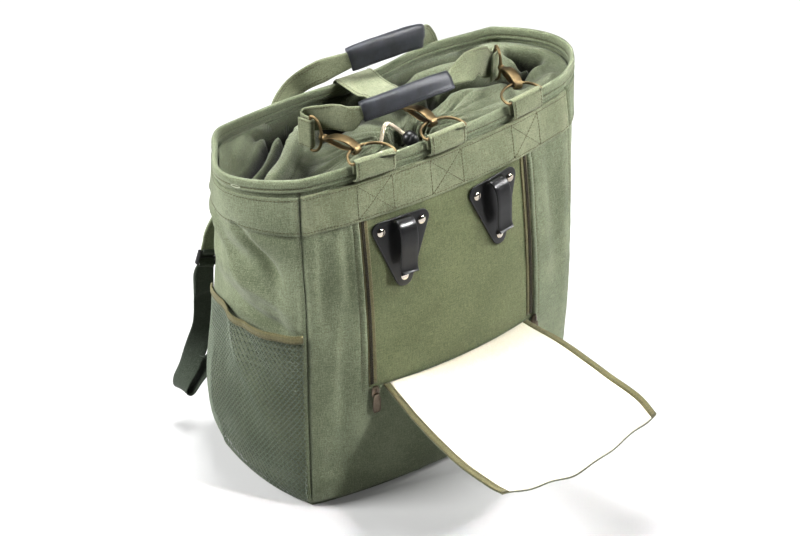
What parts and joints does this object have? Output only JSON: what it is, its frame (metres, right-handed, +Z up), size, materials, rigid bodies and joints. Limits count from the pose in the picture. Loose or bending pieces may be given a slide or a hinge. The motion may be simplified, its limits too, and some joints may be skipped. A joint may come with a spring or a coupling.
{
  "type": "convertible pannier backpack",
  "caption": "Upright canvas pannier backpack with gathered drawstring mouth, snap-hook handles, folded-down front flap, rack hooks, mesh side pocket and shoulder straps.",
  "frame": {"origin": "middle of the base on the floor, below the mouth", "axes": "+Z up; -Y towards the hook side that faces a bicycle rack; +Y towards the wearer's back; +X to the right seen from the hook side"},
  "size_m": [0.4477, 0.4345, 0.4479],
  "materials": {
    "canvas": "matte olive canvas",
    "hook_cloth": "matte olive canvas, a little yellower",
    "webbing": "matte cotton strap",
    "mesh": "knitted net",
    "binding": "ribbed tape",
    "lining": "coated cream cloth",
    "leather": "black grained leather",
    "plate": "satin black",
    "nickel": "bright nickel",
    "brass": "antique brass, worn bright on edges",
    "zip": "dark brown coil on olive tape",
    "dark_webbing": "dark ribbed webbing",
    "cord": "braided cotton cord",
    "plastic": "moulded black"
  },
  "bodies": {
    "bag": {"front_panel": "canvas", "right_gusset": "canvas", "back_panel": "canvas", "left_gusset": "canvas", "base_panel": "canvas", "hook_panel": "hook_cloth", "zip_left": "zip", "zip_right": "zip", "rim_hem": "canvas", "front_band": "webbing", "back_band": "canvas", "loop_left": "webbing", "loop_mid": "webbing", "loop_right": "webbing", "d_ring_left": "brass", "d_ring_mid": "brass", "d_ring_right": "brass", "snap_left_bail": "brass", "snap_left_hook": "brass", "snap_mid_bail": "brass", "snap_mid_hook": "brass", "snap_right_bail": "brass", "snap_right_hook": "brass", "front_handle_strap": "webbing", "front_handle_grip": "leather", "rear_handle_strap": "webbing", "rear_handle_grip": "leather", "closure_strap": "webbing", "drawstring_collar": "canvas", "drawstring": "cord", "cord_lock": "plastic", "hook_left_plate": "plate", "hook_left_tongue": "plate", "hook_left_rivet_1": "nickel", "hook_left_rivet_2": "nickel", "hook_left_rivet_3": "nickel", "hook_right_plate": "plate", "hook_right_tongue": "plate", "hook_right_rivet_1": "nickel", "hook_right_rivet_2": "nickel", "hook_right_rivet_3": "nickel", "flap_canvas": "canvas", "flap_lining": "lining", "flap_tape": "binding", "zip_left_slider": "brass", "zip_right_slider": "brass", "pocket_mesh": "mesh", "pocket_binding": "binding", "shoulder_left_strap": "canvas", "shoulder_left_webbing": "dark_webbing", "shoulder_left_lock": "plastic", "shoulder_right_strap": "canvas", "shoulder_right_webbing": "dark_webbing", "shoulder_right_lock": "plastic"},
    "left_gate": {"snap_left_gate": "brass"},
    "mid_gate": {"snap_mid_gate": "brass"},
    "right_gate": {"snap_right_gate": "brass"},
    "left_pull": {"zip_left_pull": "brass"},
    "right_pull": {"zip_right_pull": "brass"}
  },
  "joints": [
    {"name": "left_gate_swing", "type": "hinge", "parent": "bag", "child": "left_gate", "pos_m": [-0.10536, -0.0339, 0.4066], "axis": [-0.9474, -0.3201, 0], "range_deg": [0, 10], "stiffness_Nm_per_rad": 0.06},
    {"name": "mid_gate_swing", "type": "hinge", "parent": "bag", "child": "mid_gate", "pos_m": [-0.00729, -0.03319, 0.40682], "axis": [-0.995, -0.1, 0], "range_deg": [0, 10], "stiffness_Nm_per_rad": 0.06},
    {"name": "right_gate_swing", "type": "hinge", "parent": "bag", "child": "right_gate", "pos_m": [0.12149, -0.02331, 0.40657], "axis": [-0.9682, 0.2501, 0], "range_deg": [0, 10], "stiffness_Nm_per_rad": 0.06},
    {"name": "left_pull_swing", "type": "hinge", "parent": "bag", "child": "left_pull", "pos_m": [-0.10356, -0.10542, 0.14], "axis": [-0.982, 0.1891, 0], "range_deg": [0, 60]},
    {"name": "right_pull_swing", "type": "hinge", "parent": "bag", "child": "right_pull", "pos_m": [0.10967, -0.10599, 0.14], "axis": [-0.983, -0.1834, 0], "range_deg": [0, 60]}
  ]
}
